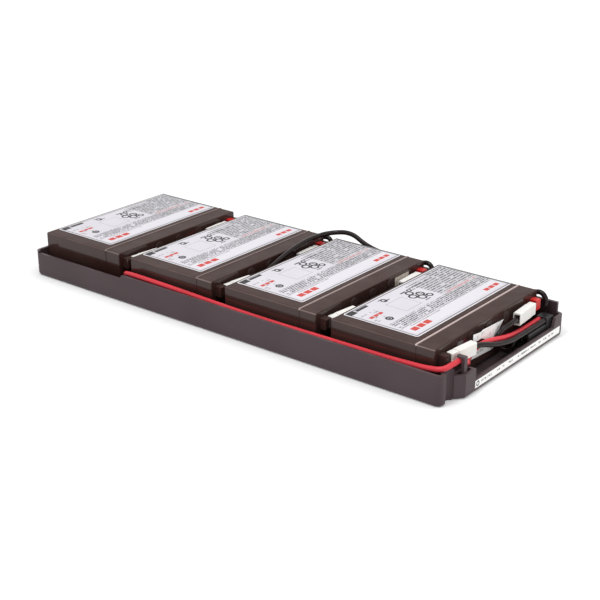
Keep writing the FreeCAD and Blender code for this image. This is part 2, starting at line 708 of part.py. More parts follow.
def tape_patch():
    near = BLOCK_L / 2 + TAPE_Y
    return box(0, STICKER_T, near, near + TAPE_L, TAPE_Z, TAPE_Z + TAPE_H)


# ---- the assembly --------------------------------------------------------------------------
def main():
    os.makedirs("parts", exist_ok=True)
    nodes = {"tray": tray(), "end_strip": end_strip_space(STRIP_RECESS)}
    positive, negative, separators = plate_groups()
    per_block = {
        "case": case(), "lid": lid(), "label": label(), "positive_plates": positive,
        "negative_plates": negative, "separators": separators,
        "negative_terminal": terminal(NEG_SPLAY),
        "positive_terminal": at_back(terminal(POS_SPLAY)),
        "positive_base": at_back(terminal_base(POS_SPLAY)),
        "negative_housing": housing(NEG_MOUTH, NEG_SPLAY),
        "positive_housing": at_back(housing(POS_MOUTH, POS_SPLAY))}
    for name, shape in per_block.items():
        for k in range(BLOCKS):
            nodes["%s_%d" % (name, k + 1)] = at_block(shape, k)
    caps = []
    valves = []
    receptacles = []
    for k in range(BLOCKS):
        for y in vent_rows():
            caps.append(at_block(Part.makeCylinder(VENT_R, VENT_T, V(0, y, VENT_Z),
                                                   V(1, 0, 0)), k))
            valves.append(at_block(Part.makeCylinder(VALVE_R, VALVE_L, V(-VALVE_L, y, VENT_Z),
                                                     V(1, 0, 0)), k))
        for shape in (receptacle(NEG_MOUTH, NEG_SPLAY),
                      at_back(receptacle(POS_MOUTH, POS_SPLAY))):
            receptacles.append(at_block(shape, k))
    nodes["vent_caps"] = Part.makeCompound(caps)
    nodes["vent_valves"] = Part.makeCompound(valves)
    nodes["receptacles"] = Part.makeCompound(receptacles)
    last = BLOCKS - 1
    nodes["plug_housing"] = at_block(plug_housing(), last)
    nodes["plug_boot"] = at_block(plug_boot(), last)
    nodes["plug_contacts"] = at_block(plug_contacts(), last)
    nodes["lead_tag"] = at_block(lead_tag(), last)
    nodes["lid_sticker"] = at_block(lid_sticker(), last)
    nodes["tape_patch"] = at_block(tape_patch(), last - 1)
    nodes["jumper_1_2"] = jumper(0, LOW_START, LOW_BACK, "jumper_1_2")
    nodes["jumper_2_3"] = jumper(1, HIGH_START, HIGH_BACK, "jumper_2_3")
    nodes["jumper_3_4"] = jumper(2, LOW_START, LOW_BACK, "jumper_3_4")
    nodes["red_lead"] = red_lead()
    nodes["black_lead"] = black_lead()
    for name, shape in nodes.items():
        shape.exportStep("parts/%s.step" % name)
    print(len(nodes), "nodes")


main()
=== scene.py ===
import math

import bmesh
import bpy
from mathutils import Matrix, Vector


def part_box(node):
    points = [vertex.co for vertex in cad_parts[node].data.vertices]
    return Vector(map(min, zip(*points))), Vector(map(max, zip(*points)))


bl_info = {
    "name": "Battery cartridge looks",
    "version": (1, 0, 0),
    "blender": (4, 5, 0),
    "location": "View3D > Sidebar > Cartridge",
    "description": "Finishes, leads, labels and stage of a four-block battery cartridge",
    "category": "Object",
}

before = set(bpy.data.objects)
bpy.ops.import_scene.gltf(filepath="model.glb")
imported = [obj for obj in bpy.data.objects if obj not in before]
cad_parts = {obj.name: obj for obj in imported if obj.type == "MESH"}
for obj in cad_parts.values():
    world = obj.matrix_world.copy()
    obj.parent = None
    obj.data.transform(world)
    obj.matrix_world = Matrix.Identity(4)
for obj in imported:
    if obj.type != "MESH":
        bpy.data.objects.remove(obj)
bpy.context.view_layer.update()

X, Y, Z = range(3)
MM = 0.001

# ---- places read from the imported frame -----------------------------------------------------
# In metres. Each block lies on its side: its case is on the left and its lid faces right
BLOCKS = (1, 2, 3, 4)
ROW, CASE_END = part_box("case_1")        # ROW is the front left lower corner of the row
LIDS = [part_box("lid_%d" % k)[1].x for k in BLOCKS]
PITCH = LIDS[1] - LIDS[0]


def on_block(corner):
    """X and Y of a corner in millimetres from the front left corner of the first block."""
    return (corner.x - ROW.x) / MM, (corner.y - ROW.y) / MM


# In millimetres on a block
SEAM = on_block(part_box("lid_1")[0])[X]  # where the lid meets the case
BLOCK_X = (LIDS[0] - ROW.x) / MM
BLOCK_Y = on_block(CASE_END)[Y]
BLOCK_Z = ROW.z / MM, CASE_END.z / MM   # bottom and top, above the ground
LABEL_X0, LABEL_Y0 = on_block(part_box("label_1")[0])
LABEL_X1, LABEL_Y1 = on_block(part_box("label_1")[1])


# ---- what a user may change ----------------------------------------------------------------
def colour(name, description, default):
    return bpy.props.FloatVectorProperty(name=name, description=description, default=default,
                                         size=3, min=0.0, max=1.0, subtype="COLOR")


def amount(name, description, default, **kind):
    return bpy.props.FloatProperty(name=name, description=description, default=default,
                                   min=0.0, **kind)


class CartridgeColours(bpy.types.PropertyGroup):
    """Colours of the pieces, as linear values."""
    tray: colour("Tray", "Moulded tray", (0.051, 0.028, 0.034))
    case: colour("Case", "Cases and lids of the blocks", (0.041, 0.018, 0.0145))
    label: colour("Label", "Silvery ground of the block labels", (0.61, 0.59, 0.635))
    label_band: colour("Label band", "Paler band along the lid side", (0.64, 0.618, 0.662))
    label_far: colour("Label far end", "Tone over the far end of the labels",
                      (0.22, 0.24, 0.23))
    label_rim: colour("Label rim", "Line round the labels", (0.06, 0.06, 0.06))
    label_edge: colour("Label edge", "Cut edge of the labels", (0.86, 0.85, 0.86))
    ink: colour("Ink", "Dark print", (0.018, 0.016, 0.018))
    thin_ink: colour("Thin ink", "Thin line beside the band", (0.09, 0.09, 0.09))
    red_ink: colour("Red ink", "Red print", (0.52, 0.045, 0.035))
    red_lead: colour("Positive lead", "Insulation of the positive lead", (0.63, 0.042, 0.058))
    black_lead: colour("Black leads", "Insulation of the other leads", (0.013, 0.007, 0.007))
    plug: colour("Output plug", "Output plug and its boot", (0.020, 0.018, 0.018))
    red_moulding: colour("Terminal marker", "Red moulding at the positive root",
                         (0.62, 0.014, 0.012))
    nylon: colour("Nylon", "Natural nylon of the terminal housings", (0.84, 0.82, 0.78))
    brass: colour("Brass", "Tinned brass of tabs and receptacles", (0.62, 0.50, 0.34))
    plate: colour("Plates", "Plates inside the blocks", (0.24, 0.24, 0.25))
    plate_pits: colour("Plate pits", "Dark grain of the plates", (0.10, 0.10, 0.11))
    separator: colour("Separators", "Glass mat between the plates", (0.82, 0.81, 0.78))
    separator_shade: colour("Separator shade", "Darker fibres of the mat", (0.62, 0.61, 0.58))
    paper: colour("Paper", "Tag, sticker and strip", (0.92, 0.91, 0.90))
    tape: colour("Tape", "Crepe tape on the third lid", (0.74, 0.65, 0.57))
    # Painted highlight, partly wear: pale colour for the blocks' upper edges and beside the
    # seam
    edge_highlight_and_wear: colour("Edge highlight and wear", "Painted highlight and wear on the blocks' upper edges", (0.72, 0.58, 0.56))
    dust: colour("Dust", "Dust on faces that look up", (0.42, 0.39, 0.37))
    floor: colour("Floor", "Pale studio floor", (0.80, 0.80, 0.80))


class CartridgeSizes(bpy.types.PropertyGroup):
    """Strength of the painted edge highlights with wear, and of the lights."""
    # Painted highlight, partly wear: strengths of the pale line along the upper edges
    case_highlight_and_wear: amount("Case highlight and wear", "Painted highlight and wear along the cases' upper edges", 0.15,
                      subtype="FACTOR")
    lid_wear: amount("Lid highlight and wear", "Painted highlight and wear along the lids' upper edges", 0.38, subtype="FACTOR")
    key_power: amount("Key light", "Power of the large lamp", 6.6, unit="POWER")
    sparkle_power: amount("Small light", "Power of the small lamp that draws fine highlights",
                          3.6, unit="POWER")
    side_power: amount("Side light", "Power of the low lamp that lights the end wall", 2.2,
                       unit="POWER")
    room_light: amount("Room light", "Level of the white room", 0.78)


def colours():
    return bpy.context.scene.cartridge_colours


def sizes():
    return bpy.context.scene.cartridge_sizes


def darker(value, share):
    return tuple(c * share for c in value)


def lighter(value, share):
    return tuple(c + (1 - c) * share for c in value)


# ---- node helpers --------------------------------------------------------------------------
def put(tree, kind, inputs=None, **settings):
    """Adds a node, sets it up, and fills or links its inputs."""
    node = tree.nodes.new("ShaderNode" + kind)
    for key, value in settings.items():
        setattr(node, key, value)
    for key, value in (inputs or {}).items():
        feed(tree, node.inputs[key], value)
    return node


def feed(tree, socket, value):
    """Links a socket to another, or sets its value."""
    if isinstance(value, bpy.types.NodeSocket):
        tree.links.new(value, socket)
    elif socket.type == "RGBA":
        socket.default_value = (*value, 1.0)
    else:
        socket.default_value = value


def feed_all(tree, node, values):
    """Feeds a node's inputs; the keys name them with _ for a space."""
    for key, value in values.items():
        feed(tree, node.inputs[key.replace("_", " ")], value)


def calc(tree, operation, *values, clamp=False):
    inputs = dict(enumerate(values))
    return put(tree, "Math", inputs, operation=operation, use_clamp=clamp).outputs[0]


def vec(tree, operation, *values):
    inputs = dict(enumerate(values))
    return put(tree, "VectorMath", inputs, operation=operation).outputs[0]


def drawn(tree, place, x=1.0, y=1.0, z=1.0):
    """Place scaled along the axes; a small scale draws a pattern out along its axis."""
    return vec(tree, "MULTIPLY", place, (x, y, z))


def length(tree, vector):
    return put(tree, "VectorMath", {0: vector}, operation="LENGTH").outputs["Value"]


def split(tree, vector):
    """The X, Y and Z of a vector."""
    return put(tree, "SeparateXYZ", {0: vector}).outputs


def join(tree, x, y, z):
    return put(tree, "CombineXYZ", {X: x, Y: y, Z: z}).outputs[0]


def blend(tree, factor, a, b):
    """Colour a turning to colour b by the factor."""
    return put(tree, "Mix", {0: factor, 6: a, 7: b}, data_type="RGBA").outputs[2]


def lay(tree, mask, strength, under, over):
    """Colour laid over another where a mask says, at a strength."""
    return blend(tree, calc(tree, "MULTIPLY", mask, strength), under, over)


def remap(tree, value, low, high, to_low=0.0, to_high=1.0):
    return put(tree, "MapRange", {"Value": value, "From Min": low, "From Max": high,
                                  "To Min": to_low, "To Max": to_high}).outputs[0]


SPREAD = (0.3, 0.7)     # where most of a noise's values lie


def noise(tree, place, scale, detail=3.0, rough=0.5):
    return put(tree, "TexNoise", {"Vector": place, "Scale": scale, "Detail": detail,
                                  "Roughness": rough}).outputs[0]


def any_of(tree, masks):
    total = masks[0]
    for mask in masks[1:]:
        total = calc(tree, "MAXIMUM", total, mask)
    return total


SOCKETS = {"v": "NodeSocketVector", "f": "NodeSocketFloat"}


def group(name, inputs, outputs):
    """New node group with (name, kind, default) inputs; gives the tree and its two ends."""
    tree = bpy.data.node_groups.new(name, "ShaderNodeTree")
    for label, kind, default in inputs:
        socket = tree.interface.new_socket(label, in_out="INPUT", socket_type=SOCKETS[kind])
        if default is not None:
            socket.default_value = default
    for label, kind in outputs:
        tree.interface.new_socket(label, in_out="OUTPUT", socket_type=SOCKETS[kind])
    start = tree.nodes.new("NodeGroupInput")
    end = tree.nodes.new("NodeGroupOutput")
    return tree, start.outputs, end.inputs


def use(tree, name, **inputs):
    """Places a shared group and feeds it; gives its outputs."""
    node = tree.nodes.new("ShaderNodeGroup")
    node.node_tree = bpy.data.node_groups[name]
    feed_all(tree, node, inputs)
    return node.outputs


# ---- shared effects ------------------------------------------------------------------------
def make_block_place():
    """Place on a block in millimetres, the same on all four; Z is counted from the ground."""
    tree, given, out = group("Block place", [("Object", "v", None)], [("Place", "v")])
    local = split(tree, vec(tree, "SUBTRACT", given["Object"], (ROW.x, ROW.y, 0.0)))
    x = calc(tree, "FLOORED_MODULO", local[X], PITCH)
    scaled = put(tree, "VectorMath", {0: join(tree, x, local[Y], local[Z]), "Scale": 1 / MM},
                 operation="SCALE")
    feed(tree, out["Place"], scaled.outputs[0])


def make_print_field():
    """Rectangle of print."""
    tree, given, out = group("Print field", [("Place", "v", None), ("Centre", "v", None),
                                             ("Half", "v", None)], [("Mask", "f")])
    away = vec(tree, "ABSOLUTE", vec(tree, "SUBTRACT", given["Place"], given["Centre"]))
    past = split(tree, vec(tree, "SUBTRACT", away, given["Half"]))
    worst = calc(tree, "MAXIMUM", past[X], past[Y])
    feed(tree, out["Mask"], calc(tree, "LESS_THAN", worst, 0.0))


def make_print_ring():
    """Ring of print."""
    tree, given, out = group("Print ring", [("Place", "v", None), ("Centre", "v", None),
                                            ("Radius", "f", 2.0), ("Line", "f", 0.5)],
                             [("Mask", "f")])
    flat = drawn(tree, vec(tree, "SUBTRACT", given["Place"], given["Centre"]), z=0.0)
    off = calc(tree, "ABSOLUTE", calc(tree, "SUBTRACT", length(tree, flat), given["Radius"]))
    feed(tree, out["Mask"], calc(tree, "LESS_THAN", off,
                                 calc(tree, "MULTIPLY", given["Line"], 0.5)))


ROW_SHIFT = 7.31        # makes the words of each row differ
STROKES = 4.3           # strokes in the length of a word
STROKE_SHIFT = 3.7      # makes the strokes of each row differ


def make_greeked_lines():
    """Rows of word-like bars, stacked along X and running along Y."""
    tree, given, out = group("Greeked lines", [("Place", "v", None), ("Pitch", "f", 2.0),
                                               ("Height", "f", 0.55), ("Word", "f", 3.0),
                                               ("Fill", "f", 0.45)], [("Mask", "f")])
    place = split(tree, given["Place"])
    rows = calc(tree, "DIVIDE", place[X], given["Pitch"])
    row = calc(tree, "FLOOR", rows)
    inside = calc(tree, "LESS_THAN", calc(tree, "FRACT", rows), given["Height"])
    along = calc(tree, "DIVIDE", place[Y], given["Word"])
    spot = join(tree, along, calc(tree, "MULTIPLY", row, ROW_SHIFT), 0.5)
    words = calc(tree, "GREATER_THAN", noise(tree, spot, 1.0, detail=0.0), given["Fill"])
    stroke = join(tree, calc(tree, "MULTIPLY", along, STROKES),
                  calc(tree, "MULTIPLY", row, STROKE_SHIFT), calc(tree, "MULTIPLY", rows, 2.0))
    strokes = remap(tree, noise(tree, stroke, 1.0, detail=1.0), 0.36, 0.52)
    feed(tree, out["Mask"], calc(tree, "MULTIPLY", calc(tree, "MULTIPLY", inside, words),
                                 strokes))


def make_edge_mask():
    """One along the edges of a box, fading to nothing a width away from them."""
    tree, given, out = group("Edge mask", [("Place", "v", None), ("Low", "v", None),
                                           ("High", "v", None), ("Width", "f", 1.0)],
                             [("Mask", "f")])
    low = split(tree, vec(tree, "SUBTRACT", given["Place"], given["Low"]))
    high = split(tree, vec(tree, "SUBTRACT", given["High"], given["Place"]))
    near = []
    for axis in (X, Y, Z):
        gap = calc(tree, "MINIMUM", low[axis], high[axis])
        near.append(calc(tree, "SUBTRACT", 1.0, calc(tree, "DIVIDE", gap, given["Width"]),
                         clamp=True))
    edges = [calc(tree, "MINIMUM", near[a], near[b]) for a, b in ((X, Y), (Y, Z), (X, Z))]
    feed(tree, out["Mask"], any_of(tree, edges))


SCUFF_FADE = 0.12       # noise above the scuff level at which a scuff is full


def make_moulded_skin():
    """Grain height, slow tone change and faint scuffs of moulded plastic."""
    tree, given, out = group("Moulded skin", [("Object", "v", None), ("Grain", "f", 900.0),
                                              ("Drift", "f", 30.0), ("Scuff", "f", 0.6)],
                             [("Height", "f"), ("Tone", "f"), ("Scuffs", "f")])
    place = given["Object"]
    feed(tree, out["Height"], noise(tree, place, given["Grain"], detail=4.0, rough=0.6))
    drift = noise(tree, place, given["Drift"], detail=2.0)
    feed(tree, out["Tone"], remap(tree, drift, *SPREAD))
    streaks = noise(tree, drawn(tree, place, y=0.16), 420.0, detail=6.0, rough=0.7)
    full = calc(tree, "ADD", given["Scuff"], SCUFF_FADE)
    feed(tree, out["Scuffs"], remap(tree, streaks, given["Scuff"], full))


def make_dust():
    """Fine dust lying on faces that look up."""
    tree, given, out = group("Settled dust", [("Object", "v", None), ("Amount", "f", 0.3)],
                             [("Mask", "f")])
    up = split(tree, put(tree, "NewGeometry").outputs["Normal"])[Z]
    flat = calc(tree, "MULTIPLY", calc(tree, "MAXIMUM", up, 0.0), given["Amount"])
    place = given["Object"]
    patches = remap(tree, noise(tree, place, 60.0, detail=5.0, rough=0.6), 0.35, 0.75)
    specks = remap(tree, noise(tree, place, 1500.0, detail=2.0), 0.5, 0.75)
    feed(tree, out["Mask"], calc(tree, "MULTIPLY", flat,
                                 calc(tree, "MAXIMUM", patches, specks), clamp=True))


UPRIGHT, LYING = 0.3, 0.8       # rise of a normal on walls and on faces that look up


def make_upright_faces():
    """A weight on walls that stand upright, and nothing on faces that look up."""
    tree, given, out = group("Upright faces", [("Weight", "f", 0.5)], [("Mask", "f")])
    up = split(tree, put(tree, "NewGeometry").outputs["Normal"])[Z]
    feed(tree, out["Mask"], remap(tree, calc(tree, "ABSOLUTE", up), UPRIGHT, LYING,
                                  given["Weight"], 0.0))


EFFECTS = (make_block_place, make_print_field, make_print_ring, make_greeked_lines,
           make_edge_mask, make_moulded_skin, make_dust, make_upright_faces)


# ---- materials -----------------------------------------------------------------------------
FINE_BUMP = 0.0002      # depth of grain, in metres
COARSE_BUMP = 0.0004


def finish(name, roughness=0.5, **sockets):
    """New material: gives it, its tree, its shader and its Object coordinates."""
    mat = bpy.data.materials.new(name)
    mat.use_nodes = True
    tree = mat.node_tree
    shader = tree.nodes["Principled BSDF"]
    feed_all(tree, shader, {"Roughness": roughness, **sockets})
    place = put(tree, "TexCoord").outputs["Object"]
    return mat, tree, shader, place


def paint(tree, shader, tone, rough=None):
    feed(tree, shader.inputs["Base Color"], tone)
    if rough is not None:
        feed(tree, shader.inputs["Roughness"], rough)


def raise_skin(tree, shader, height, strength, distance=FINE_BUMP):
    bump = put(tree, "Bump", {"Height": height, "Strength": strength, "Distance": distance})
    feed(tree, shader.inputs["Normal"], bump.outputs[0])


def moulded(tree, place, dark, light, **values):
    """Outputs of a moulded skin, and a colour that drifts from dark to light over it."""
    skin = use(tree, "Moulded skin", Object=place, **values)
    return skin, blend(tree, skin["Tone"], dark, light)


def dusted(tree, place, share, tone):
    mask = use(tree, "Settled dust", Object=place, Amount=share)["Mask"]
    return blend(tree, mask, tone, tuple(colours().dust))


def wear(mat, *names):
    """Gives CAD nodes a material in place of the plain one."""
    for name in names:
        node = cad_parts[name]
        node.data.materials.clear()
        node.data.materials.append(mat)


def numbered(*stems):
    """Names of the pieces that each block has."""
    return ["%s_%d" % (stem, k) for stem in stems for k in BLOCKS]


# ---- pieces --------------------------------------------------------------------------------
class CARTRIDGE_OT_effects(bpy.types.Operator):
    """Builds the shared print, wear and grain effects"""
    bl_idname = "cartridge.effects"
    bl_label = "Shared effects"

    def execute(self, context):
        for make in EFFECTS:
            make()
        return {"FINISHED"}


class CARTRIDGE_OT_tray(bpy.types.Operator):
    """Finishes the moulded tray"""
    bl_idname = "cartridge.tray"
    bl_label = "Tray"

    def execute(self, context):
        base = tuple(colours().tray)
        mat, tree, shader, place = finish("tray_plastic", Specular_IOR_Level=0.34)
        skin, tone = moulded(tree, place, darker(base, 0.85), lighter(base, 0.012),
                             Grain=1400.0, Drift=14.0, Scuff=0.62)
        tone = lay(tree, skin["Scuffs"], 0.25, tone, lighter(base, 0.10))
        paint(tree, shader, dusted(tree, place, 0.10, tone),
              remap(tree, skin["Tone"], 0, 1, 0.42, 0.52))
        raise_skin(tree, shader, skin["Height"], 0.25)
        wear(mat, "tray")
        return {"FINISHED"}


# Painted edge highlights with wear, and the seams of the blocks, in millimetres, and how
# strongly the seams show
HIGHLIGHT_WEAR_DEPTH = 0.9        # reach of the painted highlight and wear below the top
HIGHLIGHT_WEAR_WIDTH = 1.3        # reach of the painted highlight and wear from an edge
SEAM_HIGHLIGHT = 1.4         # painted highlight on the lid beside the seam, where its bead catches light
SEAM_GAP = 1.1          # dark gap on the case beside the seam
SEAM_HIGHLIGHT_STRENGTH = (0.06, 0.72)    # strength of the painted seam highlight on the second block's lid, rising to that on the last
GAP_STRENGTH = 0.8


def finish_shells(name, stem, x0, x1, strength):
    """Finishes the cases or the lids, which reach from x0 to x1 on each block."""
    base, edge_highlight_and_wear = tuple(colours().case), tuple(colours().edge_highlight_and_wear)
    mat, tree, shader, place = finish(name, Specular_IOR_Level=0.05, Coat_Roughness=0.06,
                                      Coat_IOR=1.6)
    skin, tone = moulded(tree, place, darker(base, 0.88), lighter(base, 0.008),
                         Grain=700.0, Drift=22.0, Scuff=0.60)
    tone = lay(tree, skin["Scuffs"], 0.12, tone, lighter(base, 0.12))

    bottom, top = BLOCK_Z
    spot = use(tree, "Block place", Object=place)["Place"]
    # Painted highlight, partly wear: pale along the upper edges, where their fillets would
    # catch light
    upper = calc(tree, "GREATER_THAN", split(tree, spot)[Z], top - HIGHLIGHT_WEAR_DEPTH)
    edges = use(tree, "Edge mask", Place=spot, Low=(x0, 0.0, bottom), High=(x1, BLOCK_Y, top),
                Width=HIGHLIGHT_WEAR_WIDTH)["Mask"]
    patchy = remap(tree, noise(tree, place, 90.0), 0.25, 0.6, 0.65, 1.0)
    rubbed_and_lit = calc(tree, "MULTIPLY", calc(tree, "MULTIPLY", edges, upper), patchy)
    tone = lay(tree, rubbed_and_lit, strength, tone, edge_highlight_and_wear)

    # Painted highlight: pale line on the lid beside the seam where its bead catches light,
    # stronger towards the last block
    seam_highlight = calc(tree, "MULTIPLY", upper,
                rectangle(tree, spot, SEAM, SEAM + SEAM_HIGHLIGHT, 0.0, BLOCK_Y))
    rise = remap(tree, split(tree, place)[X], LIDS[1], LIDS[3], *SEAM_HIGHLIGHT_STRENGTH)
    tone = lay(tree, seam_highlight, rise, tone, edge_highlight_and_wear)
    gap = rectangle(tree, spot, SEAM - SEAM_GAP, SEAM, 0.0, BLOCK_Y)
    tone = lay(tree, gap, GAP_STRENGTH, tone, darker(base, 0.15))

    paint(tree, shader, dusted(tree, place, 0.05, tone),
          remap(tree, skin["Tone"], 0, 1, 0.28, 0.38))
    feed(tree, shader.inputs["Coat Weight"], use(tree, "Upright faces")["Mask"])
    raise_skin(tree, shader, skin["Height"], 0.12)
    wear(mat, *numbered(stem))


class CARTRIDGE_OT_blocks(bpy.types.Operator):
    """Finishes the cases, lids and vents of the four blocks"""
    bl_idname = "cartridge.blocks"
    bl_label = "Blocks"

    def execute(self, context):
        finish_shells("case_plastic", "case", 0.0, SEAM, sizes().case_highlight_and_wear)
        finish_shells("lid_plastic", "lid", SEAM, BLOCK_X, sizes().lid_wear)

        base = tuple(colours().case)
        mat, tree, shader, place = finish("vent_rubber", 0.6)
        skin, tone = moulded(tree, place, darker(base, 0.6), darker(base, 1.1),
                             Grain=1200.0, Drift=80.0, Scuff=0.6)
        paint(tree, shader, tone)
        raise_skin(tree, shader, skin["Height"], 0.2)
        wear(mat, "vent_caps", "vent_valves")
        return {"FINISHED"}


# ---- print on a block label, in millimetres on the block -----------------------------------
# Fields of print: x0, x1, y0, y1
DARK_FIELDS = ((4.0, 10.2, 13.2, 22.0), (5.6, 8.8, 23.4, 38.0), (8.2, 9.2, 50.0, 55.0),
               (12.2, 13.2, 52.0, 60.5), (8.2, 13.2, 55.2, 56.2), (13.0, 14.6, 74.0, 80.5),
               (22.0, 34.0, 84.6, 85.6), (36.0, 37.0, 76.0, 83.0))
RED_FIELDS = ((22.4, 25.6, 18.5, 23.0), (22.4, 25.6, 24.0, 28.6), (22.4, 25.6, 29.6, 34.4),
              (58.6, 64.0, 20.5, 27.2), (58.6, 64.0, 28.6, 35.6), (58.6, 64.0, 37.0, 44.0),
              (60.2, 64.4, 122.6, 128.4), (60.2, 64.4, 129.6, 135.6),
              (60.2, 64.4, 136.8, 142.6))
# Rings of print: x, y, radius, line
RINGS = ((35.2, 28.1, 2.6, 1.7), (35.2, 28.1, 0.7, 1.2), (18.6, 79.6, 3.0, 1.6),
         (24.6, 75.8, 3.2, 1.6), (30.6, 80.2, 3.3, 1.6), (25.6, 84.6, 3.2, 1.6),
         (32.6, 87.8, 2.4, 1.5), (14.8, 84.6, 1.8, 1.3), (11.6, 54.4, 2.4, 1.2))
# Small print: x0, x1, y0, y1, row pitch, word, fill, strength
TEXTS = ((9.0, 16.8, 87.0, 120.0, 3.9, 5.0, 0.34, 0.90),
         (12.0, 38.0, 95.0, 146.5, 3.1, 5.5, 0.32, 0.85),
         (5.0, 11.5, 121.0, 146.5, 3.1, 5.0, 0.32, 0.90),
         (42.0, 53.4, 18.0, 146.5, 2.3, 4.5, 0.30, 1.00),
         (16.5, 33.0, 16.5, 34.5, 3.2, 3.0, 0.55, 0.60),
         (55.0, 56.6, 26.0, 66.0, 1.8, 2.4, 0.32, 0.90))
RED_TEXT = (38.8, 41.4, 100.0, 144.0, 1.9, 4.6, 0.28, 0.95)
# Zones of the ground: x0, x1, y0, y1
LABEL = (LABEL_X0, LABEL_X1, LABEL_Y0, LABEL_Y1)
FAR_ZONE = (LABEL_X0 + 2.3, 53.4, 94.0, LABEL_Y1)
BAND = (54.2, 66.2, 17.0, LABEL_Y1 - 4.0)
BAND_LINE = (53.9, 54.4, 16.0, LABEL_Y1 - 3.0)
HEM = (LABEL_X0, LABEL_X1, LABEL_Y1 - 1.4, LABEL_Y1)
TABLE = (17.5, 37.5, 48.0, 69.0)
# Widths of the pale cut edge, the rim and the table's frame, and the rim's gap to the edge
EDGE_LINE, RIM_LINE, TABLE_LINE = 0.5, 1.1, 0.4
RIM_GAP = 1.2


def rectangle(tree, spot, x0, x1, y0, y1):
    return use(tree, "Print field", Place=spot, Centre=((x0 + x1) / 2, (y0 + y1) / 2, 0.0),
               Half=((x1 - x0) / 2, (y1 - y0) / 2, 0.0))["Mask"]


def inset(field, gap):
    x0, x1, y0, y1 = field
    return x0 + gap, x1 - gap, y0 + gap, y1 - gap


def outline(tree, spot, field, line):
    """Line just inside the edges of a field."""
    outer = rectangle(tree, spot, *field)
    inner = rectangle(tree, spot, *inset(field, line))
    return calc(tree, "SUBTRACT", outer, inner, clamp=True)


def ring(tree, spot, x, y, radius, line):
    return use(tree, "Print ring", Place=spot, Centre=(x, y, 0.0), Radius=radius,
               Line=line)["Mask"]


def small_print(tree, spot, x0, x1, y0, y1, pitch, word, fill, strength):
    area = rectangle(tree, spot, x0, x1, y0, y1)
    rows = use(tree, "Greeked lines", Place=spot, Pitch=pitch, Word=word, Fill=fill)["Mask"]
    return calc(tree, "MULTIPLY", calc(tree, "MULTIPLY", area, rows), strength)


class CARTRIDGE_OT_labels(bpy.types.Operator):
    """Prints the labels of the four blocks with fields and rows of bars"""
    bl_idname = "cartridge.labels"
    bl_label = "Labels"

    def execute(self, context):
        tints = colours()
        mat, tree, shader, place = finish("label_print", Specular_IOR_Level=0.15)
        spot = use(tree, "Block place", Object=place)["Place"]
        dark = [rectangle(tree, spot, *field) for field in DARK_FIELDS]
        dark += [ring(tree, spot, *size) for size in RINGS]
        dark += [small_print(tree, spot, *text) for text in TEXTS]
        red = [rectangle(tree, spot, *field) for field in RED_FIELDS]
        red.append(small_print(tree, spot, *RED_TEXT))

        tone = blend(tree, remap(tree, noise(tree, place, 26.0, detail=2.0), *SPREAD),
                     darker(tints.label, 0.94), tuple(tints.label))
        # From the bottom layer up
        for mask, strength, tint in (
                (rectangle(tree, spot, *FAR_ZONE), 0.24, tints.label_far),
                (rectangle(tree, spot, *BAND), 1.0, tints.label_band),
                (rectangle(tree, spot, *BAND_LINE), 0.7, tints.thin_ink),
                (outline(tree, spot, inset(LABEL, RIM_GAP), RIM_LINE), 0.85, tints.label_rim),
                (outline(tree, spot, TABLE, TABLE_LINE), 0.55, tints.ink),
                (any_of(tree, dark), 1.0, tints.ink),
                (any_of(tree, red), 1.0, tints.red_ink),
                (outline(tree, spot, LABEL, EDGE_LINE), 0.6, tints.label_edge),
                (rectangle(tree, spot, *HEM), 0.85, tints.label_rim)):
            tone = lay(tree, mask, strength, tone, tuple(tint))
        paint(tree, shader, tone,
              remap(tree, noise(tree, place, 240.0), *SPREAD, 0.30, 0.42))
        raise_skin(tree, shader, noise(tree, place, 120.0, detail=2.0), 0.05, COARSE_BUMP)
        wear(mat, *numbered("label"))
        return {"FINISHED"}


class CARTRIDGE_OT_terminals(bpy.types.Operator):
    """Finishes tabs, receptacles, housings, terminal markers and the plates inside"""
    bl_idname = "cartridge.terminals"
    bl_label = "Terminals"

    def execute(self, context):
        tints = colours()
        mat, tree, shader, place = finish("tab_brass", 0.3, Metallic=1.0)
        grain = noise(tree, drawn(tree, place, y=0.1), 900.0)
        tone = blend(tree, remap(tree, grain, *SPREAD), darker(tints.brass, 0.78),
                     tuple(tints.brass))
        paint(tree, shader, tone, remap(tree, grain, *SPREAD, 0.24, 0.42))
        raise_skin(tree, shader, grain, 0.08)
        wear(mat, "receptacles", "plug_contacts",
             *numbered("negative_terminal", "positive_terminal"))

        mat, tree, shader, place = finish("white_nylon", 0.4, Subsurface_Weight=0.12,
                                          Subsurface_Radius=(0.002, 0.0016, 0.0012),
                                          Subsurface_Scale=1.0)
        skin, tone = moulded(tree, place, darker(tints.nylon, 0.90), tuple(tints.nylon),
                             Grain=900.0, Drift=70.0, Scuff=0.58)
        paint(tree, shader, lay(tree, skin["Scuffs"], 0.3, tone, darker(tints.nylon, 0.7)))
        raise_skin(tree, shader, skin["Height"], 0.15)
        wear(mat, *numbered("negative_housing", "positive_housing"))

        mat, tree, shader, place = finish("red_moulding", 0.38)
        skin, tone = moulded(tree, place, darker(tints.red_moulding, 0.82),
                             tuple(tints.red_moulding), Grain=900.0, Drift=60.0, Scuff=0.6)
        paint(tree, shader, tone)
        raise_skin(tree, shader, skin["Height"], 0.12)
        wear(mat, *numbered("positive_base"))

        mat, tree, shader, place = finish("plate_lead", 0.6, Metallic=0.6)
        grain = noise(tree, place, 700.0, detail=4.0)
        paint(tree, shader, blend(tree, grain, tuple(tints.plate_pits), tuple(tints.plate)))
        wear(mat, *numbered("positive_plates", "negative_plates"))

        mat, tree, shader, place = finish("separator_mat", 0.9)
        fibre = noise(tree, drawn(tree, place, y=0.2), 1600.0, detail=4.0)
        paint(tree, shader, blend(tree, fibre, tuple(tints.separator_shade),
                                  tuple(tints.separator)))
        wear(mat, *numbered("separators"))
        return {"FINISHED"}


